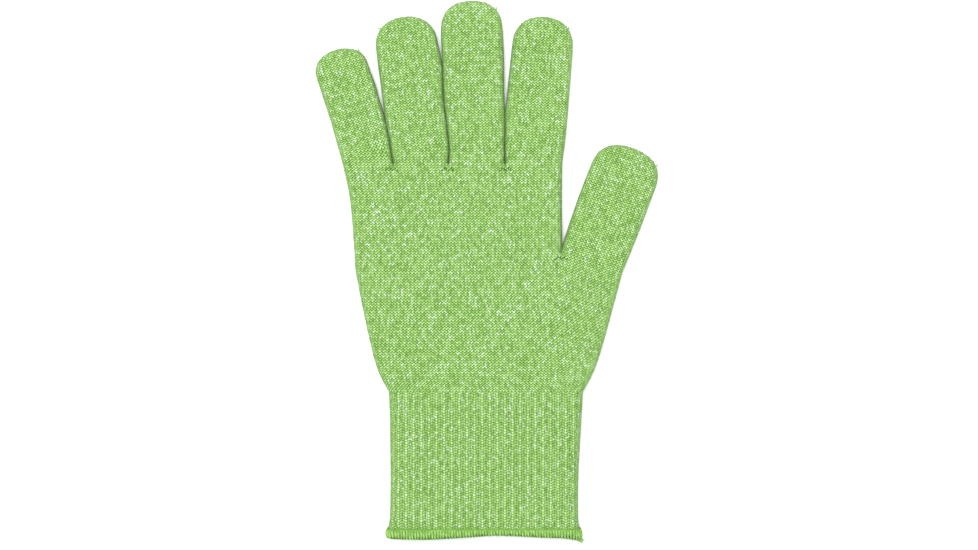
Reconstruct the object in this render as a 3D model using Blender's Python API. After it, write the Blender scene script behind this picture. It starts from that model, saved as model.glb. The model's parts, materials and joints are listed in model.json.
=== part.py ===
"""Cut resistant glove, laid flat: one seamless knitted shell in its knitted sections.

Frame: +Z up from the surface it lies on, +Y towards the fingertips, +X towards the thumb.
The origin is on that surface, under the middle of the palm. All sizes are in metres.
"""

from collections import namedtuple
from math import cos, pi, radians, sin

import bmesh
import bpy
from mathutils import Matrix, Vector

# Clearance between pieces that meet
GAP = 0.0003

# Knit: wall, thickness of the flattened tubes, and the rounding of their long edges
WALL = 0.0012
HAND_THICKNESS = 0.0080
HAND_EDGE = 0.0030
CUFF_THICKNESS = 0.0090
CUFF_EDGE = 0.0036
HEM_THICKNESS = 0.0096

# Places along Y where one knitted section ends and the next starts
ROOT_LINE = 0.0484
THUMB_FORK = 0.0087
WRIST = -0.0535
CUFF_END = -0.1150
HEM_END = -0.1196

# Fingers: root is the middle of the fold line at the fork, lean is degrees to the left,
# tip is the length of the rounded end, folds are shares of the length where it also folds.
# The four fingers fold along lines straight across the hand, so that they curl side by side
# without meeting. The thumb folds along lines square to itself, as fold_lean says.
Finger = namedtuple("Finger", "root lean fold_lean root_width width length tip folds")
FINGER_FOLDS = (0.0, 0.32, 0.66)
THUMB_FOLDS = (0.0, 0.46)
FINGERS = {
    "little": Finger((-0.0532, ROOT_LINE), 15.0, 0.0, 0.0208, 0.0235, 0.0518, 0.0089, FINGER_FOLDS),
    "ring": Finger((-0.0293, ROOT_LINE), 6.7, 0.0, 0.0237, 0.0274, 0.0651, 0.0125, FINGER_FOLDS),
    "middle": Finger((-0.0044, ROOT_LINE), 2.1, 0.0, 0.0248, 0.0275, 0.0718, 0.0142, FINGER_FOLDS),
    "index": Finger((0.0209, ROOT_LINE), -4.4, 0.0, 0.0249, 0.0270, 0.0648, 0.0137, FINGER_FOLDS),
    "thumb": Finger((0.0468, 0.0038), -19.9, -19.9, 0.0284, 0.0303, 0.0541, 0.0131, THUMB_FOLDS),
}
SECTION_NAMES = {3: ("base", "middle", "tip"), 2: ("base", "tip")}
TAPER_SHARE = 0.55
TIP_STEPS = 14

# Sides of the hand, from below the wrist upwards
LITTLE_SIDE = ((-0.0430, -0.0640), (-0.0434, -0.0530), (-0.0497, -0.0393), (-0.0570, -0.0038),
               (-0.0601, 0.0317), (-0.0641, 0.0495), (-0.0668, 0.0600))
THUMB_SIDE = ((0.0420, -0.0640), (0.0428, -0.0535), (0.0495, -0.0393), (0.0592, -0.0038),
              (0.0663, 0.0140))
INDEX_SIDE = ((0.0330, 0.0000), (0.0330, THUMB_FORK), (0.0336, 0.0600))
SIDE_STEPS = 3

# Cuff and its overlocked hem: left and right sides
CUFF_SIDES = (-0.0426, 0.0410)
HEM_SIDES = (-0.0440, 0.0430)

# Elastic thread laid round inside the cuff
ELASTIC_RADIUS = 0.00035
ELASTIC_PITCH = 0.0046
ELASTIC_TURNS = 12
ELASTIC_END_STEPS = 4

# Small threads
STITCH_RADIUS = 0.00045
STITCH_HALF_WIDTH = 0.0013
YARN_END_RADIUS = 0.0005
YARN_END_LENGTH = 0.0014
YARN_END_ANGLE = 40.0
YARN_END_SIDES = {"little": -1, "ring": -1, "middle": 1, "index": 1, "thumb": 1}
HEM_THREAD_END = ((0.0405, -0.1200, 0.0040), (0.0413, -0.1206, 0.0038), (0.0422, -0.1204, 0.0036),
                  (0.0430, -0.1199, 0.0035))

# Cutters run past what they cut by this much
OVERRUN = 0.012
FAR = 0.100
EDGE_STEPS = 2
THREAD_STEPS = 1
WELD = 0.00001
SHARP_ANGLE = radians(40.0)
HERE = Matrix.Identity(4)

YARN_GREEN = (0.36, 0.62, 0.19, 1.0)
HEM_GREEN = (0.30, 0.56, 0.12, 1.0)
STITCH_GREEN = (0.20, 0.42, 0.09, 1.0)
ELASTIC_CREAM = (0.78, 0.82, 0.66, 1.0)


def clear_scene():
    for thing in list(bpy.data.objects):
        bpy.data.objects.remove(thing, do_unlink=True)


def new_collection(name):
    collection = bpy.data.collections.new(name)
    bpy.context.scene.collection.children.link(collection)
    return collection


def new_material(name, colour, roughness):
    material = bpy.data.materials.new(name)
    material.use_nodes = True
    shader = material.node_tree.nodes["Principled BSDF"]
    shader.inputs["Base Color"].default_value = colour
    shader.inputs["Roughness"].default_value = roughness
    shader.inputs["Metallic"].default_value = 0.0
    return material


def smooth(points, steps):
    """Points along a Catmull-Rom curve through the given points, ends included."""
    found = []
    for i in range(len(points) - 1):
        before = Vector(points[max(i - 1, 0)])
        start = Vector(points[i])
        end = Vector(points[i + 1])
        after = Vector(points[min(i + 2, len(points) - 1)])
        for step in range(steps):
            t = step / steps
            pull = (end - before) * t + (2 * before - 5 * start + 4 * end - after) * t**2
            pull += (3 * start - before - 3 * end + after) * t**3
            found.append(start + pull / 2)
    found.append(Vector(points[-1]))
    return found


def new_curve(name, points, dimensions, cyclic):
    curve = bpy.data.curves.new(name, "CURVE")
    curve.dimensions = dimensions
    spline = curve.splines.new("POLY")
    spline.points.add(len(points) - 1)
    for target, point in zip(spline.points, points):
        target.co = (*point, 0, 1) if len(point) == 2 else (*point, 1)
    spline.use_cyclic_u = cyclic
    thing = bpy.data.objects.new(name, curve)
    bpy.context.scene.collection.objects.link(thing)
    return thing


def to_mesh_object(curve_object, collection):
    """A mesh object in place of a curve object, with its caps welded."""
    name = curve_object.name
    graph = bpy.context.evaluated_depsgraph_get()
    mesh = bpy.data.meshes.new_from_object(curve_object.evaluated_get(graph))
    work = bmesh.new()
    work.from_mesh(mesh)
    bmesh.ops.remove_doubles(work, verts=work.verts, dist=WELD)
    bmesh.ops.recalc_face_normals(work, faces=work.faces)
    work.to_mesh(mesh)
    work.free()
    mesh.shade_smooth()
    mesh.set_sharp_from_angle(angle=SHARP_ANGLE)
    place = curve_object.matrix_world.copy()
    bpy.data.objects.remove(curve_object, do_unlink=True)
    made = bpy.data.objects.new(name, mesh)
    made.matrix_world = place
    collection.objects.link(made)
    return made


def slab(name, outline, low, high, edge, inset=0.0):
    """A curve of the outline, drawn in by inset, from low to high, with rounded long edges."""
    thing = new_curve(name, outline, "2D", cyclic=True)
    curve = thing.data
    curve.fill_mode = "BOTH"
    curve.extrude = (high - low) / 2 - edge
    curve.bevel_depth = edge
    curve.bevel_resolution = EDGE_STEPS
    curve.offset = -edge - inset
    thing.location.z = (low + high) / 2
    return thing


def placed(thing, place, collection):
    """The curve object as a mesh object whose origin is at place, with its height in its mesh."""
    bpy.context.view_layer.update()
    made = to_mesh_object(thing, collection)
    made.data.transform(made.matrix_world)
    made.matrix_world = place
    return made


def cutter(thing, place):
    made = placed(thing, place, cutters)
    made.hide_render = True
    made.display_type = "WIRE"
    return made


def cut(thing, operation, other):
    modifier = thing.modifiers.new(operation.lower(), "BOOLEAN")
    modifier.operation = operation
    modifier.solver = "EXACT"
    modifier.object = other


def knitted_tube(name, outline, keep, thickness, edge, material, place):
    """A flattened tube of the outline, cut off where the outline keep ends, and open there."""
    tube = placed(slab(name, outline, 0.0, thickness, edge), place, parts)
    cell = slab(f"{name}_cell", keep, -OVERRUN, thickness + OVERRUN, 0.0)
    inside = slab(f"{name}_inside", outline, WALL, thickness - WALL, edge - WALL, WALL)
    cut(tube, "INTERSECT", cutter(cell, place))
    cut(tube, "DIFFERENCE", cutter(inside, place))
    tube.data.materials.append(material)
    return tube


def thread(name, points, radius, material, parent=None):
    """A round thread through the points, as one closed solid."""
    thing = new_curve(name, points, "3D", cyclic=False)
    thing.data.bevel_depth = radius
    thing.data.bevel_resolution = THREAD_STEPS
    thing.data.use_fill_caps = True
    bpy.context.view_layer.update()
    made = to_mesh_object(thing, parts)
    made.data.materials.append(material)
    if parent is not None:
        attach(made, parent)
    return made


def attach(thing, parent):
    """Parents a placed object without moving it."""
    bpy.context.view_layer.update()
    thing.parent = parent
    thing.matrix_parent_inverse = parent.matrix_world.inverted()


def new_hinge(name, place, parent=None):
    """An empty on a joint's axis, which runs along the empty's X."""
    hinge = bpy.data.objects.new(name, None)
    hinge.empty_display_size = 0.01
    hinge.matrix_world = place
    parts.objects.link(hinge)
    if parent is not None:
        attach(hinge, parent)
    return hinge


def finger_frame(finger):
    """From the finger's root, along its folds on X and towards the tip on Y."""
    return Matrix.Translation((*finger.root, 0)) @ Matrix.Rotation(radians(finger.fold_lean), 4, "Z")


def finger_turn(finger):
    """How far the finger leans from square to its own folds."""
    return radians(finger.lean - finger.fold_lean)


def on_finger(finger, across, along):
    """A point across and along the finger, in the finger's frame."""
    turn = finger_turn(finger)
    return (across * cos(turn) - along * sin(turn), across * sin(turn) + along * cos(turn))


def finger_point(finger, across, along):
    point = finger_frame(finger) @ Vector((*on_finger(finger, across, along), 0))
    return (point.x, point.y)


def finger_outline(finger):
    """Up the right side, round the tip and down the left side, from behind the root."""
    half_root = finger.root_width / 2
    half = finger.width / 2
    taper_end = TAPER_SHARE * finger.length
    right = [(half_root, -OVERRUN), (half_root, 0.0), (half, taper_end)]
    left = [(-across, along) for across, along in reversed(right)]
    tip_start = finger.length - finger.tip
    angles = [pi * step / TIP_STEPS for step in range(TIP_STEPS + 1)]
    tip = [(half * cos(a), tip_start + finger.tip * sin(a)) for a in angles]
    return [on_finger(finger, across, along) for across, along in right + tip + left]


def box_outline(left, right, low, high):
    return [(left, low), (right, low), (right, high), (left, high)]


def make_finger(name, finger):
    """Makes the finger's sections, each on an empty at its fold, and returns the last empty."""
    frame = finger_frame(finger)
    outline = finger_outline(finger)
    folds = [on_finger(finger, 0.0, share * finger.length) for share in finger.folds]
    ends = [along for _, along in folds[1:]] + [finger.length + OVERRUN]
    hinge = None
    for section, (middle, start), end in zip(SECTION_NAMES[len(folds)], folds, ends):
        node = f"{name}_{section}"
        keep = box_outline(-FAR, FAR, start + GAP / 2, end - GAP / 2)
        tube = knitted_tube(node, outline, keep, HAND_THICKNESS, HAND_EDGE, yarn, frame)
        fold = frame @ Matrix.Translation((middle, start, HAND_THICKNESS))
        hinge = new_hinge(f"{node}_fold", fold, hinge)
        attach(tube, hinge)
    return hinge


def make_yarn_end(name, finger, tip_hinge):
    """The cut end of the knitting yarn, which stands out at the shoulder of the fingertip."""
    angle = radians(YARN_END_ANGLE)
    side = YARN_END_SIDES[name]
    half = finger.width / 2
    start = Vector((half * cos(angle), finger.length - finger.tip + finger.tip * sin(angle)))
    outward = Vector((cos(angle) / half, sin(angle) / finger.tip)).normalized()
    points = []
    for share in (0.0, 0.5, 1.0):
        reach = start + outward * (GAP + YARN_END_LENGTH * share)
        x, y = finger_point(finger, side * reach.x, reach.y)
        points.append((x, y, HAND_THICKNESS / 2))
    thread(f"{name}_yarn_end", points, YARN_END_RADIUS, yarn, tip_hinge)


def fold_ends(name):
    """Right and left ends of the fold line at a finger's root, just clear of the finger."""
    finger = FINGERS[name]
    half = finger.root_width / 2 / cos(finger_turn(finger)) + GAP
    points = [finger_frame(finger) @ Vector((side * half, -GAP / 2, 0)) for side in (1, -1)]
    return [(point.x, point.y) for point in points]


def make_four_finger_body():
    """The upper palm, from the thumb's fork to the roots of the four fingers."""
    outline = smooth(INDEX_SIDE, SIDE_STEPS) + smooth(LITTLE_SIDE, SIDE_STEPS)[::-1]
    keep = box_outline(-FAR, FAR, THUMB_FORK + GAP / 2, ROOT_LINE - GAP / 2)
    knitted_tube("palm_upper", outline, keep, HAND_THICKNESS, HAND_EDGE, yarn, HERE)


def make_five_finger_body():
    """The lower palm, from the wrist to the thumb's fork and the thumb's root."""
    outline = smooth(THUMB_SIDE, SIDE_STEPS) + smooth(LITTLE_SIDE, SIDE_STEPS)[:-SIDE_STEPS][::-1]
    thumb = FINGERS["thumb"]
    fork = fold_ends("thumb")[1]
    far_right = finger_point(thumb, FAR, -GAP / 2)
    top = THUMB_FORK - GAP / 2
    bottom = WRIST + GAP / 2
    keep = [(-FAR, bottom), (far_right[0], bottom), far_right, (fork[0], top), (-FAR, top)]
    knitted_tube("palm_lower", outline, keep, HAND_THICKNESS, HAND_EDGE, yarn, HERE)


def make_band(name, sides, start, end, thickness, material, hinge):
    """A straight flattened tube across the wrist, open at both ends."""
    outline = box_outline(*sides, end - OVERRUN, start + OVERRUN)
    keep = box_outline(-FAR, FAR, end, start)
    attach(knitted_tube(name, outline, keep, thickness, CUFF_EDGE, material, HERE), hinge)


def racetrack(half_width, radius):
    """One turn of a flattened ring, counter-clockwise, as offsets across and up."""
    straight = half_width - radius
    turn = []
    for centre, first in ((straight, -pi / 2), (-straight, pi / 2)):
        for step in range(ELASTIC_END_STEPS + 1):
            angle = first + pi * step / ELASTIC_END_STEPS
            turn.append((centre + radius * cos(angle), radius * sin(angle)))
    return turn


def make_elastic(hinge):
    """The elastic thread that draws the cuff in, laid round inside it as one long coil."""
    clear = WALL + GAP + ELASTIC_RADIUS
    left, right = CUFF_SIDES
    turn = racetrack((right - left) / 2 - clear, CUFF_THICKNESS / 2 - clear)
    middle = (left + right) / 2
    first = (WRIST + CUFF_END) / 2 + ELASTIC_PITCH * ELASTIC_TURNS / 2
    points = []
    for i in range(ELASTIC_TURNS * len(turn)):
        across, up = turn[i % len(turn)]
        along = first - ELASTIC_PITCH * i / len(turn)
        points.append((middle + across, along, CUFF_THICKNESS / 2 + up))
    thread("cuff_elastic", points, ELASTIC_RADIUS, elastic, hinge)


def make_fork_stitch(name, place):
    """The closing stitch that lies over the fork between two fingers."""
    x, y = place
    height = HAND_THICKNESS + GAP + STITCH_RADIUS
    points = [(x + STITCH_HALF_WIDTH * share, y - STITCH_HALF_WIDTH, height)
              for share in (-1.0, 0.0, 1.0)]
    thread(name, points, STITCH_RADIUS, stitching)


clear_scene()
parts = new_collection("cut_resistant_glove")
cutters = new_collection("cutters")
yarn = new_material("knit_yarn", YARN_GREEN, 0.9)
hem_thread = new_material("hem_thread", HEM_GREEN, 0.85)
stitching = new_material("stitch_thread", STITCH_GREEN, 0.9)
elastic = new_material("elastic_thread", ELASTIC_CREAM, 0.7)

make_four_finger_body()
make_five_finger_body()
for finger_name, shape in FINGERS.items():
    make_yarn_end(finger_name, shape, make_finger(finger_name, shape))

wrist_hinge = new_hinge("wrist_fold", Matrix.Translation((0, WRIST, CUFF_THICKNESS)))
make_band("wrist_cuff", CUFF_SIDES, WRIST - GAP / 2, CUFF_END, CUFF_THICKNESS, yarn, wrist_hinge)
make_band("cuff_hem", HEM_SIDES, CUFF_END - GAP, HEM_END, HEM_THICKNESS, hem_thread, wrist_hinge)
make_elastic(wrist_hinge)
thread("hem_thread_end", HEM_THREAD_END, STITCH_RADIUS, hem_thread, wrist_hinge)

make_fork_stitch("little_ring_fork_stitch", fold_ends("ring")[1])
make_fork_stitch("ring_middle_fork_stitch", fold_ends("middle")[1])
make_fork_stitch("middle_index_fork_stitch", fold_ends("index")[1])
make_fork_stitch("thumb_fork_stitch", fold_ends("thumb")[1])
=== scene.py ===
"""The looks of a seamless knitted glove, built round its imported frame.

Frame: +Z up from the floor, +Y towards the fingertips, +X towards the thumb. Sizes are in metres.
The knitted skins are grids of loops round the flat tubes of the glove. Every point's height comes
from its distance to the outline, so that neighbouring skins meet exactly.
"""

import json
from collections import namedtuple

import bpy
import numpy as np
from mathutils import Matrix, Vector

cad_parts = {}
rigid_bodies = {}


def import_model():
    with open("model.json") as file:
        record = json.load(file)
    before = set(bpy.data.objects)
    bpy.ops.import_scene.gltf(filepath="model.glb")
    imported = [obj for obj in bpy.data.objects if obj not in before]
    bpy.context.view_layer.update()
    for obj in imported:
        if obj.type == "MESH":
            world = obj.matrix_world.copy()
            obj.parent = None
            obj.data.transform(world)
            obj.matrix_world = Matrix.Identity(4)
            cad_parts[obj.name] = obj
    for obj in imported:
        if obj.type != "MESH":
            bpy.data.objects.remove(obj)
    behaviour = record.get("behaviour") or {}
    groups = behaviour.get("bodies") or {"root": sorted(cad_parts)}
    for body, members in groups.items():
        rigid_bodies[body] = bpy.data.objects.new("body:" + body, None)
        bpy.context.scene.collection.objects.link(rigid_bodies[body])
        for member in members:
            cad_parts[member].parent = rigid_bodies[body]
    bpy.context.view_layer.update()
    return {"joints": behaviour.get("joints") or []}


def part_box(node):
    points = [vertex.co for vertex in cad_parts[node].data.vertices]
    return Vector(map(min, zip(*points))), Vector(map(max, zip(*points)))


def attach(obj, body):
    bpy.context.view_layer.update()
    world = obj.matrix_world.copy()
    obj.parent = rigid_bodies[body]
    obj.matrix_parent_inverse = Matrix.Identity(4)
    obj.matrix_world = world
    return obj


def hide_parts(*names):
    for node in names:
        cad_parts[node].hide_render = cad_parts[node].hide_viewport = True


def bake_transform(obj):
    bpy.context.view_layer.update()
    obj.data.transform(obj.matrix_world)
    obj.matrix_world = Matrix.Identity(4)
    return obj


SEED = 11

# Camera straight above, with a long lens; the lens and the sensor are in millimetres
LENS = 120.0
SENSOR = 36.0
VIEW_WIDTH = 0.4338
VIEW_CENTRE = (0.0011, -0.00155)
SUBJECT_HEIGHT = 0.006

# Fingers: lean is degrees to the left, tip is the length of the rounded end, squareness the power
# of its curve, wales the number of knitted columns on one side
Finger = namedtuple("Finger", "lean width length tip squareness wales")
FINGERS = {
    "little": Finger(15.0, 0.0235, 0.0518, 0.0092, 2.2, 14),
    "ring": Finger(6.7, 0.0274, 0.0651, 0.0125, 2.2, 16),
    "middle": Finger(2.1, 0.0275, 0.0718, 0.0135, 2.4, 16),
    "index": Finger(-4.4, 0.0270, 0.0648, 0.0137, 2.3, 16),
    "thumb": Finger(-19.9, 0.0303, 0.0541, 0.0131, 2.4, 19),
}
FOUR = ("little", "ring", "middle", "index")

# Forks, and the lines along which two neighbours touch above them
LITTLE_RING = ((-0.0415, 0.0481), (-0.0424, 0.0539), (-0.0433, 0.0592), (-0.0446, 0.0655))
RING_MIDDLE = ((-0.0170, 0.0481), (-0.0166, 0.0540), (-0.0171, 0.0600), (-0.0180, 0.0680),
               (-0.0189, 0.0750), (-0.0193, 0.0810), (-0.0195, 0.0900))
MIDDLE_INDEX = ((0.0082, 0.0481), (0.0081, 0.0550), (0.0082, 0.0640), (0.0082, 0.0700))
THUMB_INDEX = ((0.0334, 0.0087), (0.0336, 0.0112))

# Left and right sides of each finger, from its root to below its rounded end
SIDES = {
    "little": (((-0.0640, 0.0481), (-0.0694, 0.0672)),
               (*LITTLE_RING, (-0.0464, 0.0725), (-0.0481, 0.0779), (-0.0495, 0.0832))),
    "ring": ((*LITTLE_RING, (-0.0456, 0.0725), (-0.0464, 0.0779), (-0.0470, 0.0832),
              (-0.0480, 0.0900)),
             (*RING_MIDDLE, (-0.0205, 0.0960))),
    "middle": ((*RING_MIDDLE, (-0.0198, 0.0960)),
               (*MIDDLE_INDEX, (0.0078, 0.0800), (0.0077, 0.0940))),
    "index": ((*MIDDLE_INDEX, (0.0088, 0.0750), (0.0095, 0.0820), (0.0103, 0.0900)),
              ((0.0336, 0.0481), (0.0358, 0.0670))),
    "thumb": ((*THUMB_INDEX, (0.0405, 0.0320)), ((0.0602, -0.0010), (0.0678, 0.0180))),
}

# Sides of the palm and the cuff
WRIST = -0.0535
LITTLE_SIDE_LOW = ((-0.0434, WRIST), (-0.0497, -0.0393), (-0.0574, -0.0038), (-0.0587, 0.0087))
LITTLE_SIDE_HIGH = ((-0.0587, 0.0087), (-0.0606, 0.0317), SIDES["little"][0][0])
THUMB_SIDE = ((0.0428, WRIST), (0.0495, -0.0393), (0.0588, -0.0060), SIDES["thumb"][1][0])
INDEX_SIDE = (*THUMB_INDEX, (0.0334, 0.0280), SIDES["index"][1][0])
CUFF_LEFT = ((-0.0434, WRIST), (-0.0428, -0.0640), (-0.0424, -0.0900), (-0.0427, -0.1080),
             (-0.0436, -0.1140), (-0.0438, -0.1300))
CUFF_RIGHT = ((0.0428, WRIST), (0.0420, -0.0640), (0.0408, -0.0900), (0.0407, -0.1090),
              (0.0412, -0.1140), (0.0424, -0.1300))
CURVE_STEPS = 8
TIP_STEPS = 40
CHUNK = 8192
TOUCHING = 1e-6

# Thickness of the flat tubes: EDGE_HEIGHT is where top and underside meet at the rim
FLOOR_GAP = 0.0001
EDGE_HEIGHT = 0.0034
HAND_HEIGHT = 0.0074
CUFF_HEIGHT = 0.0086
CROWN = 0.0004
CROWN_REACH = 0.008
RIM = 0.0019
CUFF_RIM = 0.0034
CUFF_SHAPE_START = WRIST + 0.008
CUFF_SHAPE_REACH = 0.020
WALL = 0.0012
SAG = 0.00035
SAG_WAVELENGTH = 0.021
GATHER = 0.00040
GATHER_WAVELENGTH = 0.008
GATHER_MIDDLE = -0.046
GATHER_REACH = 0.010
GATHER_STRETCH = (1.0, 0.4)

# Knit: a course is one row of stitches and a wale one column. The rows and the columns of the mesh
# are shares of them, and the first column of the mesh is closer to the rim.
COURSE = 0.00120
WALE = 0.00151
COLUMNS_PER_WALE = 4
PALM_ROWS = 2
FINGER_ROWS = 3
FIRST_COLUMN = 0.25
UPPER_PALM_LENGTH = 0.0394
LOWER_PALM_LENGTH = 0.0610
KNIT_RELIEF = 0.00012
COLUMN_SHARE = 0.7
RIM_SCALLOP = 0.00010
RIM_SWELL = 0.00010
RIM_FOCUS = 3
WRIST_WALES = 0.74
SETTLE_LENGTH = 0.012
SQUARE_ROWS_SHARE = 0.15
TIP_ROWS_SHARE = 1.3

# The cuff's ribs, which fade in below the wrist
RIB = 0.00337
FIRST_RIB = CUFF_LEFT[2][0]
CUFF_COURSE = 0.00115
RIB_RELIEF = 0.00030
RIB_SINK = 0.4
RIB_SHARPNESS = 1.5
RIB_LOOP_SHARE = 0.3
RIB_FADE = 0.004
CUFF_END = -0.1152
CUFF_ROWS = 108
INNER_ROWS = 24

# Stitches: a wale has two legs, and its middle and its sides are half a stitch apart
LEGS_PER_WALE = 2.0
WALES_PER_RIB = 3.0
LEGS_PER_RIB = 6.0
WALE_WANDER = 0.16
RIB_WANDER = 0.05
COURSE_WANDER = 0.24
WALE_DRIFT_SCALE = 700.0
COURSE_DRIFT_SCALE = 500.0
STITCH_SLANT = 0.50
STEP_REACH = 0.35
# Painted shade and light on the stitches: the tone falls in the gaps between them and rises along
# the middles of their legs
GAP_SHARPNESS = 2.0
GAP_SHADE = 0.22
YARN_SHADE = 0.82
COLUMN_DEPTH = 0.35
RIB_COLUMN_DEPTH = 0.50
RIB_COURSE_DEPTH = 0.72
PATCHINESS = 0.08
PATCH_SCALE = 85.0
# The cuff's tone, with painted light along the middle of each rib
RIB_SHADE = 0.80
RIB_LIGHT = 0.26
RIDGE_SHARPNESS = 3.0
KNIT_ROUGHNESS = 0.85
KNIT_BUMP = (0.00025, 0.5)
SPECULAR = 0.12
SHEEN = 0.03
SHEEN_ROUGHNESS = 0.5

# Thread: a ply comes round once in TWIST_RADII times the radius of the thread
TWIST_RADII = 6
PLIES = 2.0
PLY_SHARPNESS = 0.5
# Painted shade in the grooves between the plies
THREAD_GAP_SHADE = 0.55
THREAD_ROUGHNESS = 0.7
THREAD_TONE_SCALE = 700.0
THREAD_TONES = (0.30, 0.70)
FIBRE_SCALE = 6000.0
FIBRE_SHARE = 0.3
THREAD_BUMP = (0.0001, 0.6)
# The band under the overlock: painted shade, darker in upright lines, one for each turn of the
# thread
BAND_SHADE = 0.55
BAND_ROUGHNESS = 0.8
BAND_TONE_SCALE = 500.0
BAND_TONES = (0.25, 0.75)
BAND_BUMP = (0.0002, 0.6)

# Hem: a band, an overlock thread wound over it and a chain of thread along its edge. Their way
# round the mouth of the glove is taken at HEM_LEVEL.
HEM_TOP = -0.1138
HEM_EDGE = ((-0.0450, -0.1184), (-0.0400, -0.1187), (-0.0270, -0.1190), (-0.0120, -0.1182),
            (0.0040, -0.1172), (0.0160, -0.1176), (0.0260, -0.1181), (0.0340, -0.1184),
            (0.0400, -0.1192), (0.0450, -0.1199))
HEM_PITCH = 0.00125
HEM_THREAD = 0.00042
EDGE_THREAD = 0.00034
HEM_LEVEL = (HEM_TOP - 0.0025, HEM_TOP - 0.0030)
HEM_REACH = 0.0006
CORNER = 0.0385
CORNER_WIDTH = 0.0030
CORNER_OPENING = 0.0011

# Round the band: share of the way from its top to its edge, and how far it stands out
BAND_POINTS = 420
BAND_EDGE_GAP = 0.0007
BAND_PROFILE = ((0.0, 0.0002), (0.3, 0.00035), (0.7, 0.00035), (0.93, 0.00025), (1.0, -0.0003),
                (0.93, -0.0009), (0.7, -0.0011), (0.3, -0.0011), (0.0, -0.0009))

# One turn of the overlock: share of the turn, share of the way down, how far it stands out, radius
TURN_PROFILE = ((0.00, 0.04, -0.0002, 0.00032), (0.12, 0.10, 0.0003, 0.00040),
                (0.30, 0.45, 0.0004, 0.00058), (0.42, 0.80, 0.0004, 0.00044),
                (0.50, 1.0, -0.0001, 0.00034), (0.60, 0.80, -0.0012, 0.0004),
                (0.80, 0.40, -0.0015, 0.0004), (0.95, 0.08, -0.0009, 0.0004))
TURN_TOP = HEM_TOP - 0.0006
TURN_LEAN = 0.35
TURN_JITTER = 0.00009
DEPTH_JITTER = 0.00012

# The chain of thread along the edge: how far it stands out, and its height above the edge, by turns
CHAIN_STEPS = ((-0.0008, 0.0003), (0.0004, 0.0008))

# Fork stitches: short slanting threads in a curved row below each fork, and the way it runs
FORK_THREAD = 0.00030
FORK_STITCHES = 6
FORK_REACH = 0.0024
FORK_DROP = 0.0026
FORK_CURVE = 80
FORK_JITTER = 0.0005
FORK_SLANT_ACROSS = (0.0002, 0.0004)
FORK_SLANT_DOWN = (-0.0006, -0.0003)
FORK_HEIGHTS = (-0.0002, 0.0001, -0.0002)
FORKS = {
    "little_ring_fork_stitch": (LITTLE_RING[0], (0.98, -0.19)),
    "ring_middle_fork_stitch": (RING_MIDDLE[0], (1.0, -0.07)),
    "middle_index_fork_stitch": (MIDDLE_INDEX[0], (1.0, 0.02)),
    "thumb_fork_stitch": (THUMB_INDEX[0], (1.0, -0.10)),
}

# Yarn ends: the side of the fingertip each stands on, its way outward and sideways, and its height
YARN_END_SIDES = {"little": 1, "ring": -1, "middle": 1, "index": 1, "thumb": 1}
YARN_END_ANGLE = np.radians(40)
YARN_END_REACH = ((-0.0008, 0.0), (0.0002, 0.0), (0.0007, 0.0002), (0.0010, 0.0007))
YARN_END_RISE = (0.0, 0.0003, 0.0005, 0.0)
YARN_END_RADIUS = (0.00042, 0.00022)

# Elastic thread in the cuff, and the tail of the hem's thread
ELASTIC_RADIUS = 0.00032
ELASTIC_TURNS = 12
ELASTIC_STEPS = 4
TAIL_RADIUS = 0.00045

# How far past its axis a fold is spread, and where the next piece starts, as shares of a section
SPLIT_SHARE = 0.90

# Stage
FLOOR_SIZE = 6.0
FLOOR_COLOUR = (0.96, 0.96, 0.965, 1.0)
FLOOR_ROUGHNESS = 0.9
SKY_STRENGTH = 0.95
LAMP_SIZE = 1.4
LAMP_POWER = 42.0
LAMP_PLACE = (-0.25, 0.25, 2.0)
LAMP_TURN = (-0.125, -0.125, 0.0)

# A grid of rows across a flat tube, with the knit coordinates of its points and its column width
Skin = namedtuple("Skin", "places wale course column")

# The same rows all the way round the tube, in space
Shell = namedtuple("Shell", "points wale course")


def curve_through(points, steps=CURVE_STEPS):
    """Points along a Catmull-Rom curve through the given points, ends included."""
    known = np.array(points, float)
    padded = np.vstack([known[:1], known, known[-1:]])
    t = (np.arange(steps) / steps)[:, None]
    found = []
    for before, start, end, after in zip(padded, padded[1:], padded[2:], padded[3:]):
        pull = (end - before) * t + (2 * before - 5 * start + 4 * end - after) * t**2
        pull = pull + (3 * start - before - 3 * end + after) * t**3
        found.append(start + pull / 2)
    return np.vstack(found + [known[-1:]])


def along(line, shares):
    """Points at those shares of a line's length."""
    steps = np.linalg.norm(np.diff(line, axis=0), axis=1)
    places = np.concatenate([[0.0], np.cumsum(steps)]) / steps.sum()
    return np.stack([np.interp(shares, places, line[:, i]) for i in range(2)], axis=1)


def mix(a, b, share):
    return a + (b - a) * share


def smoothstep(x):
    x = np.clip(x, 0.0, 1.0)
    return x * x * (3 - 2 * x)


def wave(x):
    """Zero at every whole number and one half way between them."""
    return 0.5 - 0.5 * np.cos(2 * np.pi * x)


def ripple(points, wavelength, seed, waves=7):
    """A smooth random height from about -1 to 1, as a sum of waves in all directions."""
    random = np.random.default_rng(seed)
    total = np.zeros(len(points))
    for _ in range(waves):
        turn, phase = random.uniform(0, 2 * np.pi, 2)
        length = wavelength * random.uniform(0.6, 1.6)
        travel = points[:, 0] * np.cos(turn) + points[:, 1] * np.sin(turn)
        total += np.sin(2 * np.pi * travel / length + phase)
    return total / np.sqrt(2 * waves)


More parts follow.
